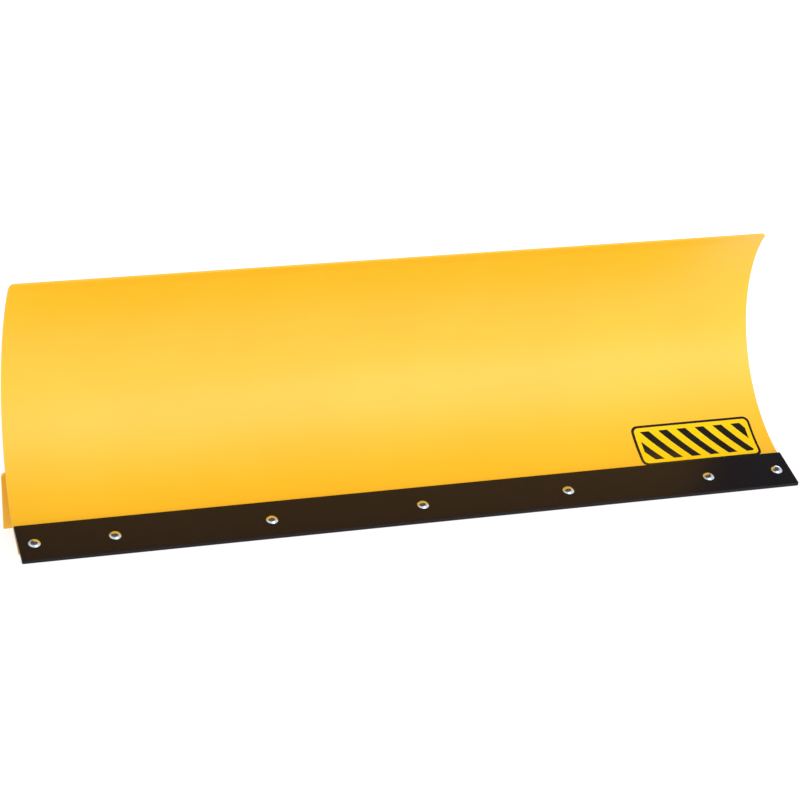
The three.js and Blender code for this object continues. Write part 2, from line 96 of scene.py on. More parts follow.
EARS = range(1, 5)


def along(angle, length):
    return Vector((math.cos(angle), math.sin(angle))) * length


FLANGE_ORIGIN = Vector((ORIGIN_Y, 0)) + along(SLOPE - math.pi / 2, BAR_CLEARANCE)
CURVE_START = FLANGE_ORIGIN + along(SLOPE, FLANGE_END)
CENTRE = CURVE_START + along(SLOPE + math.pi / 2, CURVE_RADIUS)


def on_curve(radius, tangent):
    """A point of the (y, z) plane at a radius from the face's axis."""
    return CENTRE + along(tangent - math.pi / 2, radius)


def tangent_at(p):
    return math.atan2(p.x - CENTRE.x, CENTRE.y - p.y)


def shelf_z(y):
    """The height of the shelf's upper face at a depth."""
    return WEB_TOP + (WEB_BACK - y) * math.tan(SHELF_SLOPE)


def shelf_meets_sheet(dz):
    """Where a line dz above the shelf meets the back of the sheet, found by stepping towards it."""
    y = WEB_BACK
    for _ in range(40):
        rise = CENTRE.y - (shelf_z(y) + dz)
        y = CENTRE.x + math.sqrt(SHEET_BACK ** 2 - rise ** 2)
    return Vector((y, shelf_z(y) + dz))


# ---------- materials ----------
def material(name):
    mat = bpy.data.materials.new(name)
    mat.use_nodes = True
    nodes, links = mat.node_tree.nodes, mat.node_tree.links
    return mat, nodes, links, nodes["Principled BSDF"]


def add_noise(nodes, links, scale, detail=2.0, roughness=0.5, stretch=None):
    """Noise over the object's own coordinates; scale is in features per metre."""
    coord = nodes.new("ShaderNodeTexCoord")
    source = coord.outputs["Object"]
    if stretch:
        mapping = nodes.new("ShaderNodeMapping")
        mapping.inputs["Scale"].default_value = stretch
        links.new(source, mapping.inputs["Vector"])
        source = mapping.outputs["Vector"]
    tex = nodes.new("ShaderNodeTexNoise")
    tex.inputs["Scale"].default_value = scale
    tex.inputs["Detail"].default_value = detail
    tex.inputs["Roughness"].default_value = roughness
    links.new(source, tex.inputs["Vector"])
    return tex.outputs["Fac"]


def remap(nodes, links, value, low, high, start=0.3, end=0.7):
    node = nodes.new("ShaderNodeMapRange")
    for key, number in (("From Min", start), ("From Max", end), ("To Min", low), ("To Max", high)):
        node.inputs[key].default_value = number
    links.new(value, node.inputs["Value"])
    return node.outputs["Result"]


def maths(nodes, links, operation, *values):
    """A Math node; each value is a number or a socket."""
    node = nodes.new("ShaderNodeMath")
    node.operation = operation
    for socket, value in zip(node.inputs, values):
        if isinstance(value, (int, float)):
            socket.default_value = value
        else:
            links.new(value, socket)
    return node.outputs[0]


def mix_colour(nodes, links, factor, a, b):
    node = nodes.new("ShaderNodeMix")
    node.data_type = "RGBA"
    links.new(factor, node.inputs["Factor"])
    for key, value in ((6, a), (7, b)):
        if isinstance(value, tuple):
            node.inputs[key].default_value = (*value, 1)
        else:
            links.new(value, node.inputs[key])
    return node.outputs[2]


def bump(nodes, links, height, distance, strength=1.0, below=None):
    node = nodes.new("ShaderNodeBump")
    node.inputs["Distance"].default_value = distance
    node.inputs["Strength"].default_value = strength
    links.new(height, node.inputs["Height"])
    if below:
        links.new(below, node.inputs["Normal"])
    return node.outputs["Normal"]


def powder_coat(name, dark, light, rough):
    """Powder coat: orange peel over slow waves, with a faint drift of colour and of gloss."""
    mat, nodes, links, shader = material(name)
    drift = remap(nodes, links, add_noise(nodes, links, scale=5, detail=3), 0, 1)
    links.new(mix_colour(nodes, links, drift, dark, light), shader.inputs["Base Color"])
    shader.inputs["Specular IOR Level"].default_value = 0.65
    patches = add_noise(nodes, links, scale=40, detail=4, roughness=0.6)
    links.new(remap(nodes, links, patches, rough - 0.04, rough + 0.05), shader.inputs["Roughness"])
    slow = add_noise(nodes, links, scale=9, detail=1)
    waves = bump(nodes, links, slow, distance=0.6 * MM, strength=0.35)
    peel = add_noise(nodes, links, scale=520, detail=2, roughness=0.4)
    skin = bump(nodes, links, peel, distance=0.12 * MM, strength=0.28, below=waves)
    links.new(skin, shader.inputs["Normal"])
    return mat


def black_paint(name, dark, light, rough):
    """Satin black paint over rolled bar: faint lengthwise mill lines and a fine grain."""
    mat, nodes, links, shader = material(name)
    drift = remap(nodes, links, add_noise(nodes, links, scale=11, detail=4, roughness=0.6), 0, 1)
    links.new(mix_colour(nodes, links, drift, dark, light), shader.inputs["Base Color"])
    shader.inputs["Specular IOR Level"].default_value = 0.19
    mill = add_noise(nodes, links, scale=60, detail=5, roughness=0.65, stretch=(0.08, 15, 15))
    haze = remap(nodes, links, mill, rough - 0.025, rough + 0.035, 0.25, 0.75)
    links.new(haze, shader.inputs["Roughness"])
    lines = bump(nodes, links, mill, distance=0.08 * MM, strength=0.2)
    grain = add_noise(nodes, links, scale=650, detail=2, roughness=0.5)
    skin = bump(nodes, links, grain, distance=0.08 * MM, strength=0.3, below=lines)
    links.new(skin, shader.inputs["Normal"])
    return mat


def zinc_plate(name, base, rough):
    """Bright zinc plate: mottled gloss over a lightly grained metal."""
    mat, nodes, links, shader = material(name)
    shader.inputs["Metallic"].default_value = 1
    tint = remap(nodes, links, add_noise(nodes, links, scale=160, detail=3), 0, 1)
    cool = tuple(c * k for c, k in zip(base, (0.93, 0.96, 1.0)))
    links.new(mix_colour(nodes, links, tint, base, cool), shader.inputs["Base Color"])
    grain = add_noise(nodes, links, scale=900, detail=4, roughness=0.6)
    links.new(remap(nodes, links, grain, rough - 0.05, rough + 0.09), shader.inputs["Roughness"])
    links.new(bump(nodes, links, grain, distance=0.05 * MM, strength=0.12), shader.inputs["Normal"])
    return mat


YELLOW = powder_coat("yellow_powder_coat", (0.93, 0.498, 0.014), (0.96, 0.526, 0.020), 0.40)
BLACK = black_paint("black_satin_paint", (0.0050, 0.0036, 0.0066), (0.0068, 0.0050, 0.0078), 0.3)
ZINC = zinc_plate("zinc_plate", (0.60, 0.64, 0.68), 0.07)
STEEL = zinc_plate("zinc_dull", (0.62, 0.63, 0.64), 0.33)


# ---------- mesh helpers ----------
AXIS = 0.02 * MM  # turned profiles end this far from their axis, so that no face shrinks to nothing
SAME_POINT = 0.001 * MM  # points closer than this are merged


def finish_piece(obj, mat, body, replaces, smooth, weighted=True):
    """Closes, orients and shades a mesh object, and hands it to the frame."""
    work = bmesh.new()
    work.from_mesh(obj.data)
    bmesh.ops.remove_doubles(work, verts=work.verts, dist=SAME_POINT)
    bmesh.ops.recalc_face_normals(work, faces=work.faces)
    work.to_mesh(obj.data)
    work.free()
    obj.data.shade_smooth()
    obj.data.set_sharp_from_angle(angle=rad(smooth))
    obj.data.materials.clear()
    obj.data.materials.append(mat)
    if weighted:
        modifier = obj.modifiers.new("normals", "WEIGHTED_NORMAL")
        modifier.keep_sharp = True
        modifier.weight = 100
    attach(obj, body)
    if replaces:
        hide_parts(replaces)
    return obj


def yellow_piece(obj, replaces, smooth=40):
    """A painted piece that is fixed to the blade."""
    return finish_piece(obj, YELLOW, "blade", replaces, smooth)


def mesh_object(name, verts, faces):
    mesh = bpy.data.meshes.new(name)
    mesh.from_pydata([tuple(v) for v in verts], [], faces)
    mesh.validate()
    obj = bpy.data.objects.new(name, mesh)
    bpy.context.scene.collection.objects.link(obj)
    return obj


def loft(rings, cap=True):
    """Skins closed rings of points that all have the same count."""
    verts = [p for ring in rings for p in ring]
    n = len(rings[0])
    faces = []
    for i in range(len(rings) - 1):
        for j in range(n):
            k = (j + 1) % n
            faces.append((i * n + j, i * n + k, (i + 1) * n + k, (i + 1) * n + j))
    if cap:
        faces.append(tuple(range(n - 1, -1, -1)))
        faces.append(tuple((len(rings) - 1) * n + j for j in range(n)))
    return verts, faces


def join_parts(*parts):
    verts, faces = [], []
    for v, f in parts:
        base = len(verts)
        verts += v
        faces += [tuple(i + base for i in face) for face in f]
    return verts, faces


def turn_angles(count):
    return [2 * math.pi * j / count for j in range(count)]


def polar(profile, segments, radius=None):
    """Turns a (radius, z) profile about Z. radius(r, z, angle) may shape it further."""
    shape = radius or (lambda r, z, a: r)
    angles = turn_angles(segments)
    rings = []
    for r, z in profile:
        reach = [shape(r, z, a) for a in angles]
        rings.append([Vector((s * math.cos(a), s * math.sin(a), z)) for s, a in zip(reach, angles)])
    return loft(rings)


def moved(part, matrix):
    verts, faces = part
    return [matrix @ Vector(v) for v in verts], faces


def fillet(a, corner, b, radius, steps=4):
    """Points that round a corner between its neighbours a and b."""
    start = corner + (a - corner).normalized() * radius
    end = corner + (b - corner).normalized() * radius
    out = []
    for i in range(steps + 1):
        t = i / steps
        out.append(start * (1 - t) ** 2 + corner * (2 * t * (1 - t)) + end * t ** 2)
    return out


def rounded(points, radius, steps=4):
    """A closed outline with every corner over 20 degrees rounded."""
    out = []
    n = len(points)
    for i, p in enumerate(points):
        a, b = points[i - 1], points[(i + 1) % n]
        turn = (p - a).angle(b - p, 0)
        room = min((p - a).length, (b - p).length) * 0.45  # so that two corners never meet
        if turn > rad(20):
            out += fillet(a, p, b, min(radius, room), steps)
        else:
            out.append(p)
    return out


def rectangle(left, low, right, high):
    return [Vector((left, low)), Vector((right, low)), Vector((right, high)), Vector((left, high))]


def soft_edge(radius):
    """A quarter round in four steps, as (inset, drop) pairs."""
    angles = [rad(22.5 * i) for i in range(5)]
    return [(radius * (1 - math.sin(a)), radius * (1 - math.cos(a))) for a in angles]


def plate(name, outline, thickness, x, holes=(), edge=0.5 * MM):
    """A flat plate across X from a (y, z) outline, with softened edges."""
    curve = bpy.data.curves.new(name, "CURVE")
    curve.dimensions = "2D"
    curve.fill_mode = "BOTH"
    curve.extrude = thickness / 2 - edge
    curve.bevel_depth = edge
    curve.bevel_resolution = 2
    curve.offset = -edge
    for loop in [outline, *holes]:
        spline = curve.splines.new("POLY")
        spline.points.add(len(loop) - 1)
        for point, p in zip(spline.points, loop):
            point.co = (p.x, p.y, 0, 1)
        spline.use_cyclic_u = True
    source = bpy.data.objects.new(name + "_outline", curve)
    bpy.context.scene.collection.objects.link(source)
    bpy.context.view_layer.update()
    mesh = bpy.data.meshes.new_from_object(source.evaluated_get(bpy.context.evaluated_depsgraph_get()))
    bpy.data.objects.remove(source)
    mesh.transform(Matrix(((0, 0, 1, x), (1, 0, 0, 0), (0, 1, 0, 0), (0, 0, 0, 1))))
    mesh.name = name
    obj = bpy.data.objects.new(name, mesh)
    bpy.context.scene.collection.objects.link(obj)
    return obj


def circle(centre, radius, steps=40):
    return [centre + along(-2 * math.pi * i / steps, radius) for i in range(steps)]


def tube(points, radius, sides):
    """A tube along a path; radius(t) is its radius at a fraction t of the points."""
    rings = []
    normal = None
    for i, p in enumerate(points):
        before = points[max(i - 1, 0)]
        after = points[min(i + 1, len(points) - 1)]
        step = (after - before).normalized()
        if normal is None:
            normal = step.orthogonal().normalized()
        normal = (normal - step * normal.dot(step)).normalized()
        side = step.cross(normal)
        r = radius(i / (len(points) - 1))
        rings.append([p + (normal * math.cos(a) + side * math.sin(a)) * r for a in turn_angles(sides)])
    return loft(rings)


def resample(points, count):
    lengths = [0.0]
    for a, b in zip(points, points[1:]):
        lengths.append(lengths[-1] + (b - a).length)
    out, k = [], 0
    for i in range(count):
        s = lengths[-1] * i / (count - 1)
        while k < len(points) - 2 and lengths[k + 1] < s:
            k += 1
        span = lengths[k + 1] - lengths[k]
        out.append(points[k].lerp(points[k + 1], (s - lengths[k]) / span if span else 0))
    return out


BEAD_STEP = 0.55 * MM
BEAD_RIPPLE = 3.1 * MM
BEAD_END = 2.5 * MM


def weld(points, size, seed):
    """One run of weld: a rippled bead with soft ends along the given points."""
    length = sum((b - a).length for a, b in zip(points, points[1:]))
    count = max(int(length / BEAD_STEP), 8)

    def radius(t):
        s = t * length
        ripple = 0.09 * abs(math.sin(math.pi * s / BEAD_RIPPLE)) ** 0.6
        wander = 0.10 * noise.noise(Vector((s * 160, seed * 7.3, 0)))
        ends = min(1.0, 0.35 + 0.65 * min(s, length - s) / BEAD_END)
        return size * ends * (0.94 + ripple + wander)

    return tube(resample(points, count), radius, 10)


# ---------- moldboard ----------
SHEET_COLUMNS = 40
SHEET_EDGE = 0.7 * MM  # softening of the long edges
SHEET_END_EDGE = 0.6 * MM  # softening of the two ends


def half_width(z):
    """The sheet's half width at a height, with the top corner's round."""
    top = TIP.y + SHEET
    half = BAR_HALF + SHEET_MARGIN - END_TAPER * z / SHEET_HEIGHT
    over = z - (top - LIP_CORNER)
    if over > 0:
        half -= LIP_CORNER - math.sqrt(max(LIP_CORNER ** 2 - over ** 2, 0))
    return half


def face_path():
    """The face of the sheet from its lower edge to the lip, with the direction at each point."""
    flange_steps, curve_steps, flat_steps, lip_steps = 6, 90, 3, 6
    path = []
    for i in range(flange_steps):
        up = FLANGE_START + (FLANGE_END - FLANGE_START) * i / flange_steps
        path.append((FLANGE_ORIGIN + along(SLOPE, up), SLOPE))
    for i in range(curve_steps + 1):
        tangent = SLOPE + SWEEP * i / curve_steps
        path.append((on_curve(CURVE_RADIUS, tangent), tangent))
    last, end = path[-1]
    for i in range(1, flat_steps + 1):
        path.append((last + along(end, (TOP_FLAT - LIP_EASE) * i / flat_steps), end))
    bend = last + along(end, TOP_FLAT)
    rise = along(end + LIP_BEND / 2 + math.pi / 2, 0.05 * MM)
    path.append((bend + along(end, -LIP_EASE / 3) + rise, end + LIP_BEND * 0.3))
    path.append((bend + along(end + LIP_BEND, LIP_EASE / 3) + rise, end + LIP_BEND * 0.7))
    for i in range(lip_steps + 1):
        reach = LIP_EASE + (LIP - LIP_EASE) * i / lip_steps
        path.append((bend + along(end + LIP_BEND, reach), end + LIP_BEND))
    return path


FACE = face_path()
TIP = FACE[-1][0]


def sheet_loop():
    """The sheet's section as a closed loop: up the face, then down the back, its corners softened."""
    face = [p for p, _ in FACE]
    back = [p + along(a - math.pi / 2, SHEET) for p, a in FACE]
    loop = fillet(back[0], face[0], face[1], SHEET_EDGE) + face[1:-1]
    loop += fillet(face[-2], face[-1], back[-1], SHEET_EDGE)
    loop += fillet(face[-1], back[-1], back[-2], SHEET_EDGE) + back[-2:0:-1]
    return loop + fillet(back[1], back[0], face[0], SHEET_EDGE)


def make_moldboard():
    """The sheet's section run from end to end; its ends follow the taper and are softened."""
    loop = sheet_loop()
    n = len(loop)
    normals = []
    for i in range(n):
        step = (loop[(i + 1) % n] - loop[i - 1]).normalized()
        normals.append(Vector((-step.y, step.x)))
    edge = soft_edge(SHEET_END_EDGE)
    stations = [(-1, inset, drop) for inset, drop in reversed(edge)]
    stations += [(-1 + 2 * i / SHEET_COLUMNS, 0, 0) for i in range(1, SHEET_COLUMNS)]
    stations += [(1, inset, drop) for inset, drop in edge]
    rings = []
    for u, inset, drop in stations:
        ring = []
        for p, normal in zip(loop, normals):
            q = p - normal * drop
            ring.append(Vector((u * (half_width(p.y) - inset), q.x, q.y)))
        rings.append(ring)
    verts, faces = loft(rings, cap=False)
    last = (len(rings) - 1) * n
    for a in range(n // 2 - 1):
        b, c, d = a + 1, n - 2 - a, n - 1 - a
        faces.append((d, c, b, a))
        faces.append((last + a, last + b, last + c, last + d))
    return yellow_piece(mesh_object("blade_sheet", verts, faces), "moldboard", 50)


make_moldboard()


# ---------- wear bar, bolts and nuts ----------
BAR_FRAME = Matrix.Translation((0, ORIGIN_Y, 0)) @ Matrix.Rotation(SLOPE, 4, "X")
BAR_CORNER = 2.2 * MM
BAR_EDGE = 0.7 * MM
HEAD_RADIUS = 9.95 * MM
HEAD_HEIGHT = 5.1 * MM
HEAD_RIM = 0.7 * MM
NECK_RADIUS = 4.7 * MM
BOLT_END = -21.9 * MM  # below the seat of the head
THREAD_RADIUS = 4.6 * MM
THREAD_PITCH = 1.5875 * MM
THREAD_DEPTH = 0.765 * MM
THREAD_CHAMFER = 1.2 * MM
NUT_BORE = 4.9 * MM
NUT_FLATS = 14.2 * MM
NUT_FLANGE = 9.7 * MM
NUT_TOP = -8.7 * MM


def make_wear_bar():
    """Rolled bar with soft edges and slightly rounded sheared corners."""
    plan = rounded(rectangle(-BAR_HALF, 0, BAR_HALF, BAR_HEIGHT), BAR_CORNER, 6)
    edge = soft_edge(BAR_EDGE)
    levels = edge + [(inset, BAR_THICKNESS - rise) for inset, rise in reversed(edge)]
    rings = []
    for inset, z in levels:
        ring = []
        for p in plan:
            x = p.x - math.copysign(inset, p.x)
            y = p.y + (inset if p.y < BAR_HEIGHT / 2 else -inset)
            ring.append(BAR_FRAME @ Vector((x, y, z)))
        rings.append(ring)
    bar = mesh_object("wear_bar_painted", *loft(rings))
    return finish_piece(bar, BLACK, "blade", "wear_bar", 50)


make_wear_bar()


def head_profile():
    """The dome of a carriage bolt, with the small upset rim at its seat."""
    dome, rise, steps = HEAD_RADIUS - 0.25 * MM, HEAD_HEIGHT - HEAD_RIM, 14
    sphere = (dome ** 2 + rise ** 2) / (2 * rise)
    half = math.asin(dome / sphere)
    points = [(AXIS, 0), (HEAD_RADIUS - 0.4 * MM, 0), (HEAD_RADIUS - 0.1 * MM, 0.15 * MM)]
    points += [(HEAD_RADIUS, 0.4 * MM), (HEAD_RADIUS - 0.08 * MM, HEAD_RIM - 0.1 * MM)]
    for i in range(steps):
        a = half * (1 - i / steps)
        points.append((sphere * math.sin(a), HEAD_HEIGHT + sphere * (math.cos(a) - 1)))
    points.append((0.05 * MM, HEAD_HEIGHT))
    return points


def thread(top, bottom, radius):
    """The free end of the bolt below its nut, with a true helix and a chamfered tip."""
    steps = int(abs(bottom - top) / (THREAD_PITCH / 8))
    profile = [(AXIS, top)]
    profile += [(radius, top + (bottom - top) * i / steps) for i in range(steps + 1)]
    profile += [(radius - THREAD_CHAMFER, bottom), (AXIS, bottom)]

    def shape(r, z, a):
        if r < 1 * MM:
            return r
        phase = (z / THREAD_PITCH - a / (2 * math.pi)) % 1
        groove = THREAD_DEPTH * (1 - abs(2 * phase - 1))
        tip = max(0, 1 - abs(z - bottom) / THREAD_CHAMFER) * 1.0 * MM
        return r - max(groove, tip)

    return polar(profile, 36, shape)


def nut():
    """A flange nut: hexagon with chamfered corners on a domed flange, its bore countersunk."""
    seat = -0.02 * MM
    hexagon = 20 * MM  # marks the levels that take the hexagon's shape
    levels = (-3.3, -3.8, -4.8, -5.8, -6.8, -7.4, -7.8, -8.1, -8.35, -8.55)
    profile = [(NUT_BORE, seat), (NUT_FLANGE - 0.3 * MM, seat), (NUT_FLANGE, -0.3 * MM)]
    profile += [(NUT_FLANGE, -1.3 * MM), (NUT_FLANGE - 0.4 * MM, -1.7 * MM)]
    profile += [(NUT_FLANGE - (0.6 + i * 0.45) * MM, -(1.85 + i * 0.3) * MM) for i in range(5)]
    profile += [(hexagon, z * MM) for z in levels]
    profile += [(6.6 * MM, NUT_TOP), (5.3 * MM, NUT_TOP), (NUT_BORE, NUT_TOP + 0.5 * MM), (NUT_BORE, seat)]

    def shape(r, z, a):
        if r < hexagon:
            return r
        sixth = math.pi / 3
        flat = NUT_FLATS / 2 / math.cos((a + sixth / 2) % sixth - sixth / 2)
        cone = 7.05 * MM + max(0, z - NUT_TOP) * 1.9
        return min(flat, cone)

    verts, faces = polar(profile, 72, shape)
    return verts, faces[:-2]  # without the caps, since the bore is open


def make_hardware():
    """Seven bolts, each turned its own way, and their nuts."""
    start = -0.2 * MM
    neck = -BAR_THICKNESS - BAR_CLEARANCE - SHEET
    shank = [(AXIS, start), (NECK_RADIUS, start), (NECK_RADIUS, neck), (AXIS, neck)]
    for i, x in enumerate(BOLT_X, 1):
        seat = BAR_FRAME @ Matrix.Translation((x, BOLT_ROW, BAR_THICKNESS + GAP * 0.3))
        seat = seat @ Matrix.Rotation(1.7 * i, 4, "Z")
        under = BAR_FRAME @ Matrix.Translation((x, BOLT_ROW, -BAR_CLEARANCE - SHEET - GAP))
        under = under @ Matrix.Rotation(0.9 * i, 4, "Z")
        free = thread(neck + 0.1 * MM, BOLT_END, THREAD_RADIUS)
        parts = [moved(part, seat) for part in (polar(head_profile(), 56), polar(shank, 24), free)]
        bolt = mesh_object(f"dome_bolt_{i}", *join_parts(*parts))
        finish_piece(bolt, ZINC, "blade", f"carriage_bolt_{i}", 40)
        piece = mesh_object(f"hex_flange_nut_{i}", *moved(nut(), under))
        finish_piece(piece, ZINC, "blade", f"flange_nut_{i}", 28)


make_hardware()


# ---------- rear angle, ribs, gussets, ears ----------
RIB_TOP = rad(112)  # directions of the face beside the rib's upper corners
RIB_FRONT_TOP = rad(121)
RIB_FULL = rad(84)  # from here up the rib has its full depth
RIB_HOLES = [rad(a) for a in (96, 101, 106)]
RIB_HOLE_INSET = 16 * MM
RIB_HOLE_RADIUS = 5.5 * MM
SPRING_RIBS = (3, 4)
GUSSET_FOOT = rad(33)
GUSSET_HEEL = 14 * MM
EAR_RADIUS = 26 * MM
EAR_WRAP = rad(100)
EAR_REACH = 40 * MM
EAR_HEIGHT = 48 * MM
EAR_SHOULDER = 8 * MM
EAR_HOLE = 6.5 * MM


def make_rear_angle():
    """Pressed angle with a smooth bend and softened sheared edges."""
    turn = math.pi / 2 - SHELF_SLOPE
    setback = ANGLE_BEND * math.tan(turn / 2)
    centre = Vector((WEB_BACK - ANGLE_BEND, WEB_TOP - setback))
    corner = Vector((WEB_BACK, WEB_TOP))
    tip = shelf_meets_sheet(0)
    tip += (corner - tip).normalized() * 2 * MM
    shelf = (tip - corner).normalized()
    down = Vector((-shelf.y, shelf.x))
    outer = [Vector((WEB_BACK, WEB_BOTTOM))]
    outer += [centre + along(turn * i / 12, ANGLE_BEND) for i in range(13)]
    outer.append(tip)
    inner = [tip + down * ANGLE_THICKNESS]
    inner += [centre + along(turn * (1 - i / 6), ANGLE_BEND - ANGLE_THICKNESS) for i in range(7)]
    inner.append(Vector((WEB_BACK - ANGLE_THICKNESS, WEB_BOTTOM)))
    obj = plate("pressed_rear_angle", outer + inner, 2 * BAR_HALF, 0, edge=0.45 * MM)
    return yellow_piece(obj, "rear_angle")


def rib_outline():
    """Along the back of the sheet, and deeper with an easy curve from the shelf up."""
    back_steps, front_steps = 40, 60
    heel_y = WEB_BACK - ANGLE_BEND
    heel = Vector((heel_y, shelf_z(heel_y) + GAP))
    start = tangent_at(heel)
    heel_radius = (heel - CENTRE).length
    back = []
    for i in range(back_steps + 1):
        a = start + (RIB_TOP - start) * i / back_steps
        t = min(max((a - start) / (RIB_FULL - start), 0), 1)
        back.append(on_curve(heel_radius + (RIB_RADIUS - heel_radius) * t * t * (3 - 2 * t), a))
    toe = tangent_at(shelf_meets_sheet(GAP))
    angles = [RIB_FRONT_TOP + (toe - RIB_FRONT_TOP) * i / front_steps for i in range(front_steps + 1)]
    return rounded(back + [on_curve(SHEET_BACK, a) for a in angles], 3 * MM)


def make_ribs():
    holes = [circle(on_curve(RIB_RADIUS - RIB_HOLE_INSET, a), RIB_HOLE_RADIUS) for a in RIB_HOLES]
    for i in RIBS:
        drilled = holes if i in SPRING_RIBS else ()
        obj = plate(f"back_rib_{i}", rib_outline(), *across(f"rib_{i}"), drilled)
        yellow_piece(obj, f"rib_{i}")


def make_gussets():
    """Triangular plates in the corner under the shelf."""
    under = -ANGLE_THICKNESS / math.cos(SHELF_SLOPE) - GAP
    top = tangent_at(shelf_meets_sheet(under))
    back_y = WEB_BACK - ANGLE_THICKNESS - GAP
    inner_y = back_y - ANGLE_BEND
    outline = [on_curve(SHEET_BACK, top + (GUSSET_FOOT - top) * i / 20) for i in range(21)]
    outline.append(Vector((back_y, GUSSET_HEEL)))
    outline.append(Vector((back_y, shelf_z(back_y) + under - ANGLE_BEND)))
    outline.append(Vector((inner_y, shelf_z(inner_y) + under)))
    for i in RIBS:
        obj = plate(f"corner_gusset_{i}", rounded(outline, 2 * MM), *across(f"gusset_{i}"))
        yellow_piece(obj, f"gusset_{i}")


def make_ears():
    """The ears that the push frame's arms are pinned to."""
    front = WEB_BACK + GAP
    centre = Vector((WEB_BACK + EAR_REACH, EAR_HEIGHT))
    outline = [Vector((front, centre.y - EAR_RADIUS - EAR_SHOULDER))]
    outline += [centre + along(-EAR_WRAP + 2 * EAR_WRAP * i / 48, EAR_RADIUS) for i in range(49)]
    outline.append(Vector((front, centre.y + EAR_RADIUS + EAR_SHOULDER)))
    hole = circle(centre, EAR_HOLE, 48)
    for i in EARS:
        ear = rounded(outline, 2 * MM)
        obj = plate(f"arm_ear_{i}", ear, *across(f"pivot_ear_{i}"), [hole], 0.6 * MM)
        yellow_piece(obj, f"pivot_ear_{i}")


make_rear_angle()
make_ribs()
make_gussets()
make_ears()


# ---------- skid shoes ----------
SKID = {side: middle(f"skid_stem_{side}", 0) for side in SIDES}
SKID_Y = middle("skid_stem_left", 1)
PIN_Z = middle("lynch_ring_left", 2)
STEM_PLAY = 0.4 * MM
PIN_HEAD_X = -17 * MM
PIN_HEAD_RADIUS = 6.5 * MM
PIN_RADIUS = 3.175 * MM
PIN_TIP_X = 18 * MM
WIRE_RADIUS = 1.45 * MM
WIRE_ROUND = 21 * MM


def soft_ring(inner, outer, low, high, soft):
    """A closed (radius, z) section of a collar with softened edges."""
    return [(p.x, p.y) for p in rounded(rectangle(inner, low, outer, high), soft, 3)]


def collar(section, segments=64):
    """Turns a closed section about Z and joins the last turn to the first."""
    rings = []
    for a in turn_angles(segments):
        rings.append([Vector((r * math.cos(a), r * math.sin(a), z)) for r, z in section])
    verts, faces = loft(rings + rings[:1], cap=False)
    total = len(section) * segments
    return verts[:total], [tuple(i % total for i in f) for f in faces]


def foot():
    """The pressed dish of a skid shoe."""
    steps = 12
    outer, inner = [], []
    for i in range(steps + 1):
        t = i / steps
        outer.append((31 * MM + 14.6 * MM * t, 9 * MM * t * t))
        inner.append((29 * MM + 16.1 * MM * t, 5 * MM + 8.6 * MM * t * t))
    edge = [(r * MM, z * MM) for r, z in ((45.9, 9.6), (46, 10.8), (45.95, 12.4), (45.6, 13.4))]
    profile = [(AXIS, 0.02 * MM), (20 * MM, 0.02 * MM)] + outer + edge + inner[::-1]
    profile += [(14 * MM, 5 * MM), (AXIS, 5 * MM)]
    return polar(profile, 96)


def lynch_pin():
    """The pin along X with its round head and tapered, grooved tip."""
    steps = 16
    start = math.asin(PIN_RADIUS / PIN_HEAD_RADIUS)
    profile = []
    for i in range(steps + 1):
        a = math.pi - (math.pi - start) * i / steps
        reach = max(PIN_HEAD_RADIUS * math.sin(a), AXIS)
        profile.append((reach, PIN_HEAD_X + PIN_HEAD_RADIUS * math.cos(a)))
    groove = PIN_TIP_X - 5.5 * MM
    profile += [(PIN_RADIUS, groove - 1.2 * MM), (PIN_RADIUS - 0.5 * MM, groove - 0.6 * MM)]
    profile += [(PIN_RADIUS - 0.5 * MM, groove + 0.6 * MM), (PIN_RADIUS, groove + 1.2 * MM)]
    profile += [(PIN_RADIUS, PIN_TIP_X - 2.5 * MM), (PIN_RADIUS * 0.75, PIN_TIP_X - 0.8 * MM)]
    profile += [(PIN_RADIUS * 0.45, PIN_TIP_X), (AXIS, PIN_TIP_X)]
    return moved(polar(profile, 40), Matrix.Rotation(math.pi / 2, 4, "Y"))


def lynch_ring():
    """Spring wire: round the stem, with both ends turned in to the pin's head."""
    opening = math.acos(PIN_HEAD_X / WIRE_ROUND)
    corner = WIRE_ROUND * math.sin(opening) - 3.5 * MM
    first = opening - rad(8)
    end = Vector((PIN_HEAD_X, 3 * MM, 0))
    angles = [first * (1 - i / 40) for i in range(81)]
    arc = [Vector((WIRE_ROUND * math.cos(a), WIRE_ROUND * math.sin(a), 0)) for a in angles]
    bend = fillet(end, Vector((PIN_HEAD_X, corner + 2.2 * MM, 0)), arc[0], 3.2 * MM, 6)
    mirror = [Vector((p.x, -p.y, 0)) for p in reversed([end] + bend)]
    return tube([end] + bend + arc + mirror, lambda t: WIRE_RADIUS, 14)


def make_shoe(side, place):
    """The dish and its stem."""
    dish = mesh_object(f"skid_dish_{side}", *moved(foot(), place))
    finish_piece(dish, BLACK, f"skid_shoe_{side}", f"skid_foot_{side}", 40)
    low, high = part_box(f"skid_stem_{side}")
    profile = [(AXIS, low.z), (STEM_RADIUS, low.z), (STEM_RADIUS, high.z - 2 * MM)]
    profile += [(STEM_RADIUS - 0.3 * MM, high.z - 1.4 * MM), (STEM_RADIUS - 2 * MM, high.z), (AXIS, high.z)]
    stem = mesh_object(f"skid_post_{side}", *moved(polar(profile, 64), place))
    finish_piece(stem, BLACK, f"skid_shoe_{side}", f"skid_stem_{side}", 30)


def round_stem(name, node, place, soft):
    """A sleeve or spacer round the stem, as tall as its CAD node."""
    low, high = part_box(node)
    section = soft_ring(STEM_RADIUS + STEM_PLAY, SLEEVE_RADIUS, low.z, high.z, soft)
    return mesh_object(name, *moved(collar(section), place))


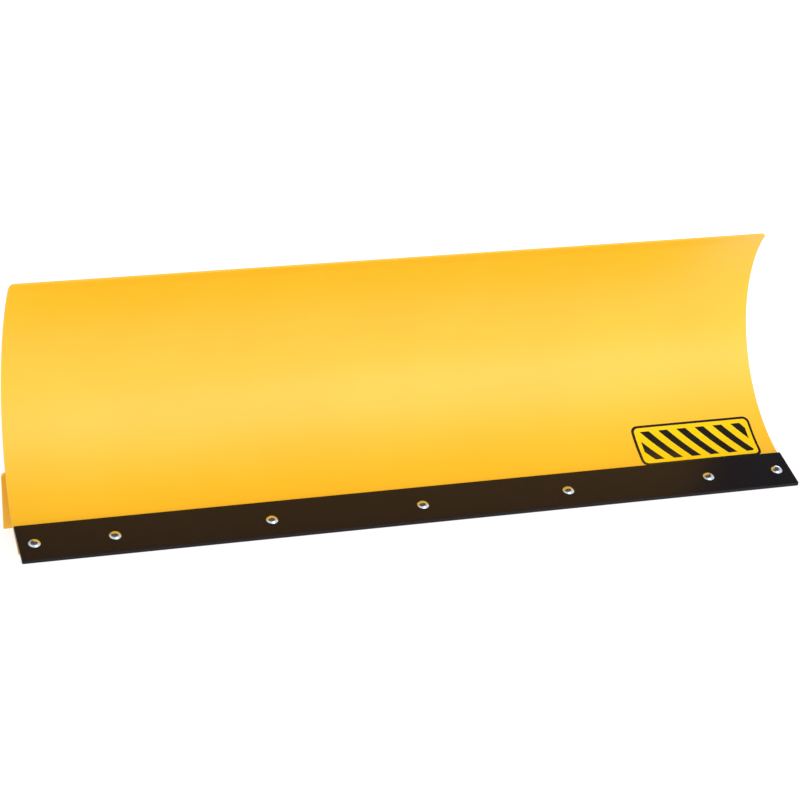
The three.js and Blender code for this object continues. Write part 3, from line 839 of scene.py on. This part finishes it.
def make_sleeve_and_spacers(side, place):
    """The fixed sleeve, the spacers under it that move with the shoe, and those on top."""
    node = f"skid_sleeve_{side}"
    yellow_piece(round_stem(f"skid_tube_{side}", node, place, 0.7 * MM), node)
    for kind, count, body in (("lower", 3, f"spacer_stack_{side}"), ("upper", 2, "blade")):
        for k in range(1, count + 1):
            node = f"{kind}_spacer_{side}_{k}"
            spacer = round_stem(f"{kind}_collar_{side}_{k}", node, place, 0.8 * MM)
            finish_piece(spacer, STEEL, body, node, 40)


def make_lynch(side):
    """The pin through the stem, and its wire ring."""
    place = Matrix.Translation((SKID[side], SKID_Y, PIN_Z))
    pin = mesh_object(f"lynch_shank_{side}", *moved(lynch_pin(), place))
    finish_piece(pin, ZINC, f"skid_shoe_{side}", f"lynch_pin_{side}", 40)
    wire = mesh_object(f"lynch_wire_{side}", *moved(lynch_ring(), place))
    finish_piece(wire, ZINC, f"lynch_ring_{side}", f"lynch_ring_{side}", 40)


def make_bracket(side):
    """The plate that holds the sleeve off the rear angle; its lower edge rises to the sleeve."""
    low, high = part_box(f"skid_bracket_{side}")
    outline = rectangle(low.y, low.z, high.y, high.z)
    outline[1].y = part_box(f"skid_sleeve_{side}")[0].z
    outline = rounded(outline, 1.5 * MM)
    bracket = plate(f"sleeve_bracket_{side}", outline, high.x - low.x, SKID[side], edge=0.6 * MM)
    yellow_piece(bracket, f"skid_bracket_{side}")


for skid_side in SIDES:
    skid_place = Matrix.Translation((SKID[skid_side], SKID_Y, 0))
    make_shoe(skid_side, skid_place)
    make_sleeve_and_spacers(skid_side, skid_place)
    make_lynch(skid_side)
    make_bracket(skid_side)


# ---------- label ----------
LABEL_MIDDLE = SLOPE + 57 * MM / CURVE_RADIUS  # direction of the face at the label's middle
LABEL_HALF_HEIGHT = 42 * MM
LABEL_CORNER = 12 * MM
LABEL_EDGE = 0.25 * MM
LABEL_THICKNESS = 0.4 * MM
LABEL_COLUMNS = 60
LABEL_ROWS = 24
ROW_SLACK = 1e-6  # keeps the first and last rows just inside the corners' round
FIELD = (106.5 * MM, 37.5 * MM, 9 * MM)  # half width, half height and corner of the yellow field
PANEL = (99 * MM, 30 * MM, 4 * MM)  # the same for the panel with the bars
HAZARD_PITCH = 17 * MM
HAZARD_EDGE = (8.4 * MM, 8.7 * MM)
HAZARD_SLANT = 0.75
PRINT_EDGE = 0.15 * MM


def label_material():
    """Printed vinyl: a black rim, and black hazard bars on lemon. UVs are in metres from the centre."""
    mat, nodes, links, shader = material("label_vinyl")
    uv = nodes.new("ShaderNodeUVMap")
    uv.uv_map = "print"
    split = nodes.new("ShaderNodeSeparateXYZ")
    links.new(uv.outputs["UV"], split.inputs["Vector"])

    def calc(operation, *values):
        return maths(nodes, links, operation, *values)

    def inside(half_w, half_h, corner):
        """1 inside a rounded rectangle, with a printed edge that is slightly soft."""
        dx = calc("MAXIMUM", calc("SUBTRACT", calc("ABSOLUTE", split.outputs["X"]), half_w - corner), 0)
        dy = calc("MAXIMUM", calc("SUBTRACT", calc("ABSOLUTE", split.outputs["Y"]), half_h - corner), 0)
        reach = calc("SQRT", calc("ADD", calc("MULTIPLY", dx, dx), calc("MULTIPLY", dy, dy)))
        return remap(nodes, links, reach, 1, 0, corner - PRINT_EDGE, corner)

    slant = calc("ADD", split.outputs["X"], calc("MULTIPLY", split.outputs["Y"], HAZARD_SLANT))
    wave = calc("PINGPONG", calc("ADD", slant, 1), HAZARD_PITCH)
    stripe = calc("MULTIPLY", remap(nodes, links, wave, 0, 1, *HAZARD_EDGE), inside(*PANEL))
    ink = calc("MAXIMUM", stripe, calc("SUBTRACT", 1, inside(*FIELD)))
    fade = remap(nodes, links, add_noise(nodes, links, scale=30, detail=3), 0, 1)
    lemon = mix_colour(nodes, links, fade, (0.93, 0.60, 0.002), (0.96, 0.64, 0.004))
    printed = mix_colour(nodes, links, ink, lemon, (0.010, 0.008, 0.007))
    links.new(printed, shader.inputs["Base Color"])
    gloss = remap(nodes, links, add_noise(nodes, links, scale=70, detail=3), 0.2, 0.3)
    links.new(gloss, shader.inputs["Roughness"])
    film = add_noise(nodes, links, scale=260, detail=2)
    links.new(bump(nodes, links, film, distance=0.06 * MM, strength=0.15), shader.inputs["Normal"])
    return mat


def label_grid(radius, inset):
    """Rows of (place, u, v) over the label at a radius; u and v are metres from its middle."""
    width, middle_x = across("hazard_label")
    half_h = LABEL_HALF_HEIGHT - inset
    grid = []
    for j in range(LABEL_ROWS + 1):
        v = -half_h * math.cos(math.pi * j / LABEL_ROWS)
        p = on_curve(radius, LABEL_MIDDLE + v / CURVE_RADIUS)
        over = abs(v * (LABEL_HALF_HEIGHT - ROW_SLACK) / half_h) - (LABEL_HALF_HEIGHT - LABEL_CORNER)
        cut = LABEL_CORNER - math.sqrt(max(LABEL_CORNER ** 2 - over ** 2, 0)) if over > 0 else 0
        limit = width / 2 - inset - min(cut, LABEL_CORNER - inset)
        row = [limit * (2 * i / LABEL_COLUMNS - 1) for i in range(LABEL_COLUMNS + 1)]
        grid.append([(Vector((middle_x + u, p.x, p.y)), u, v) for u in row])
    return grid


def make_label():
    """A thin skin on the face with rounded corners; the CAD node gives its place."""
    top = label_grid(CURVE_RADIUS - GAP - LABEL_THICKNESS, LABEL_EDGE)
    base = label_grid(CURVE_RADIUS - GAP * 0.2, 0)
    cells = [cell for row in top + base for cell in row]
    width = LABEL_COLUMNS + 1
    offset = width * (LABEL_ROWS + 1)
    faces = []
    for j in range(LABEL_ROWS):
        for i in range(LABEL_COLUMNS):
            a = j * width + i
            b = a + offset
            faces.append((a, a + width, a + width + 1, a + 1))
            faces.append((b, b + 1, b + width + 1, b + width))
    rim = list(range(width)) + [j * width + LABEL_COLUMNS for j in range(1, LABEL_ROWS + 1)]
    rim += [LABEL_ROWS * width + i for i in range(LABEL_COLUMNS - 1, -1, -1)]
    rim += [j * width for j in range(LABEL_ROWS - 1, 0, -1)]
    for a, b in zip(rim, rim[1:] + rim[:1]):
        faces.append((a, b, b + offset, a + offset))
    obj = mesh_object("hazard_decal", [place for place, _, _ in cells], faces)
    uv = obj.data.uv_layers.new(name="print")
    for loop in obj.data.loops:
        uv.data[loop.index].uv = cells[loop.vertex_index][1:]
    return finish_piece(obj, label_material(), "blade", "hazard_label", 60, weighted=False)


make_label()


# ---------- welds ----------
STANDOFF = 0.2 * MM  # the beads' centres lie this far off the surface
RIB_STITCHES = ((rad(72), rad(82)), (rad(97), rad(105)), (rad(113), rad(120)))
SHELF_STITCHES = 11
SHELF_STITCH_PITCH = 0.114
SHELF_STITCH_HALF = 0.019


def make_welds():
    """Stitch welds on both sides of the plates, and along the shelf's edge on the sheet."""
    parts = []

    def bead(points, size):
        """The next run of weld; its place in the order is its seed."""
        parts.append(weld([Vector(p) for p in points], size, len(parts) + 1))

    def arc(x, start, end, size):
        angles = [start + (end - start) * k / 12 for k in range(13)]
        places = [on_curve(SHEET_BACK + STANDOFF, a) for a in angles]
        bead([(x, p.x, p.y) for p in places], size)

    def upright(x, y, low, high, size):
        bead([(x, y, low), (x, y, high)], size)

    toe = shelf_meets_sheet(GAP)
    toe_y, heel_y = toe.x + 2 * MM, WEB_BACK - ANGLE_BEND - 1 * MM
    foot_stitch = (tangent_at(toe) + rad(1), tangent_at(toe) + rad(9))
    for i in RIBS:
        for x in (corner.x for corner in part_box(f"rib_{i}")):
            for start, end in (foot_stitch, *RIB_STITCHES):
                arc(x, start, end, 2.3 * MM)
            bead([(x, y, shelf_z(y)) for y in (toe_y, heel_y)], 2.1 * MM)
        for x in (corner.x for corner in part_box(f"gusset_{i}")):
            upright(x, WEB_BACK - ANGLE_THICKNESS, 22 * MM, 62 * MM, 2.1 * MM)
            arc(x, rad(35), rad(47), 2.1 * MM)
    web = WEB_BACK + STANDOFF
    for i in EARS:
        low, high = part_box(f"pivot_ear_{i}")
        for x in (low.x, high.x):
            upright(x, web, low.z + 6 * MM, high.z + 4 * MM, 2.6 * MM)
    for side in SIDES:
        low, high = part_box(f"skid_bracket_{side}")
        for x in (low.x, high.x):
            upright(x, web, low.z + 4 * MM, high.z - 3 * MM, 2.4 * MM)
            upright(x, SKID_Y - SLEEVE_RADIUS, 40 * MM, high.z - 2 * MM, 2.2 * MM)
    edge = shelf_meets_sheet(0)
    edge += (Vector((WEB_BACK, WEB_TOP)) - edge).normalized() * 1.2 * MM
    for k in range(SHELF_STITCHES):
        x = SHELF_STITCH_PITCH * (k - (SHELF_STITCHES - 1) / 2)
        ends = (x - SHELF_STITCH_HALF, x + SHELF_STITCH_HALF)
        bead([(end, edge.x, edge.y + 0.6 * MM) for end in ends], 2.4 * MM)
    obj = mesh_object("weld_beads", *join_parts(*parts))
    return finish_piece(obj, YELLOW, "blade", None, 180, weighted=False)


make_welds()


# ---------- stage, lights and camera ----------
FLOOR_HALF = 30
FLOOR_GLOW = 0.85
# the floor's glow within the blade's outline, low so as to paint a shadow under the blade
PAINTED_SHADOW_GLOW = 0.08
SHADE_EDGE = (0.05, 0.005)  # the painted shadow's edge: the glow fades over this band, inside the blade's outline
SKY = ((0, 0.82), (0.45, 1.03), (0.52, 1.12), (0.81, 1.06), (0.9, 0.14), (1, 0.12))  # height, level
LENS = 109.256
CAMERA_PLACE = (-1.1852, -3.5502 + ORIGIN_Y, 1.2134)
CAMERA_RIGHT = (0.952241, -0.305339, -0.002389)
CAMERA_FORWARD = (0.294262, 0.919730, -0.259821)


def make_stage():
    """A pale glowing floor with a painted shadow under the blade: its glow is turned down where the blade
    would keep light off it.
    """
    size = FLOOR_HALF
    corners = [(-size, -size, 0), (size, -size, 0), (size, size, 0), (-size, size, 0)]
    floor = mesh_object("floor", corners, [(0, 1, 2, 3)])
    mat, nodes, links, shader = material("pale_floor")
    shader.inputs["Base Color"].default_value = (0.3, 0.3, 0.3, 1)
    shader.inputs["Roughness"].default_value = 0.8
    shader.inputs["Specular IOR Level"].default_value = 0.1
    shader.inputs["Emission Color"].default_value = (1, 1, 1, 1)
    coord = nodes.new("ShaderNodeTexCoord")
    split = nodes.new("ShaderNodeSeparateXYZ")
    links.new(coord.outputs["Object"], split.inputs["Vector"])

    def within(axis, low, high):
        """1 between two places along an axis, fading to 0 at both."""
        off = maths(nodes, links, "SUBTRACT", split.outputs[axis], (low + high) / 2)
        far = maths(nodes, links, "ABSOLUTE", off)
        half = (high - low) / 2
        return remap(nodes, links, far, 1, 0, half - SHADE_EDGE[0], half - SHADE_EDGE[1])

    # Painted shadow: the floor's glow drops within the blade's footprint, from the bar's front to the
    # angle's back.
    front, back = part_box("wear_bar")[0].y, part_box("rear_angle")[1].y
    painted_shadow_mask = maths(nodes, links, "MULTIPLY", within("X", -BAR_HALF, BAR_HALF), within("Y", front, back))
    glow = remap(nodes, links, painted_shadow_mask, FLOOR_GLOW, PAINTED_SHADOW_GLOW, 0, 1)
    links.new(glow, shader.inputs["Emission Strength"])
    floor.data.materials.append(mat)


def make_world():
    """A white studio, dark overhead and dimmer behind the blade."""
    world = bpy.data.worlds.new("studio")
    bpy.context.scene.world = world
    world.use_nodes = True
    nodes, links = world.node_tree.nodes, world.node_tree.links
    coord = nodes.new("ShaderNodeTexCoord")
    split = nodes.new("ShaderNodeSeparateXYZ")
    links.new(coord.outputs["Generated"], split.inputs["Vector"])
    ramp = nodes.new("ShaderNodeValToRGB")
    height = nodes.new("ShaderNodeMapRange")
    height.inputs["From Min"].default_value = -1
    links.new(split.outputs["Z"], height.inputs["Value"])
    links.new(height.outputs["Result"], ramp.inputs["Fac"])
    elements = ramp.color_ramp.elements
    while len(elements) < len(SKY):
        elements.new(0.5)
    for element, (at, level) in zip(elements, SKY):
        element.position = at
        element.color = (level, level, level, 1)
    links.new(ramp.outputs["Color"], nodes["Background"].inputs["Color"])
    behind = remap(nodes, links, split.outputs["Y"], 1, 0.6, 0, 0.7)
    links.new(behind, nodes["Background"].inputs["Strength"])


def softbox(name, at, aim, size, power):
    light = bpy.data.lights.new(name, "AREA")
    light.shape = "RECTANGLE"
    light.size, light.size_y = size
    light.energy = power
    obj = bpy.data.objects.new(name, light)
    obj.location = at
    obj.rotation_mode = "QUATERNION"
    obj.rotation_quaternion = (Vector(aim) - Vector(at)).to_track_quat("-Z", "Y")
    bpy.context.scene.collection.objects.link(obj)
    return obj


def make_camera():
    """Stands where the photo's outlines and bolts put it, fitted by least squares."""
    data = bpy.data.cameras.new("camera")
    data.lens = LENS
    data.sensor_width = 36
    data.clip_start, data.clip_end = 0.05, 100
    camera = bpy.data.objects.new("camera", data)
    right, forward = Vector(CAMERA_RIGHT), Vector(CAMERA_FORWARD)
    axes = Matrix((right, right.cross(forward), -forward)).transposed().to_4x4()
    camera.matrix_world = Matrix.Translation(CAMERA_PLACE) @ axes
    bpy.context.scene.collection.objects.link(camera)
    bpy.context.scene.camera = camera


make_stage()
make_world()
softbox("key", at=(0.9, -3.4, 1.75), aim=(0.2, 0, 0.2), size=(2.8, 2.2), power=24)
softbox("front", at=(2.3, -4.1, 0.75), aim=(0.1, 0, 0.2), size=(3.4, 1.1), power=22)
overhead = softbox("top", at=(0.4, -1.7, 3.0), aim=(0.1, 0, 0.1), size=(2.6, 1.2), power=22)
overhead.visible_glossy = False
softbox("rear", at=(3.2, 3.8, 1.3), aim=(0, 0, 0.2), size=(2.0, 2.0), power=54)
make_camera()

view = bpy.context.scene.view_settings
view.view_transform = "Standard"
view.look = "None"
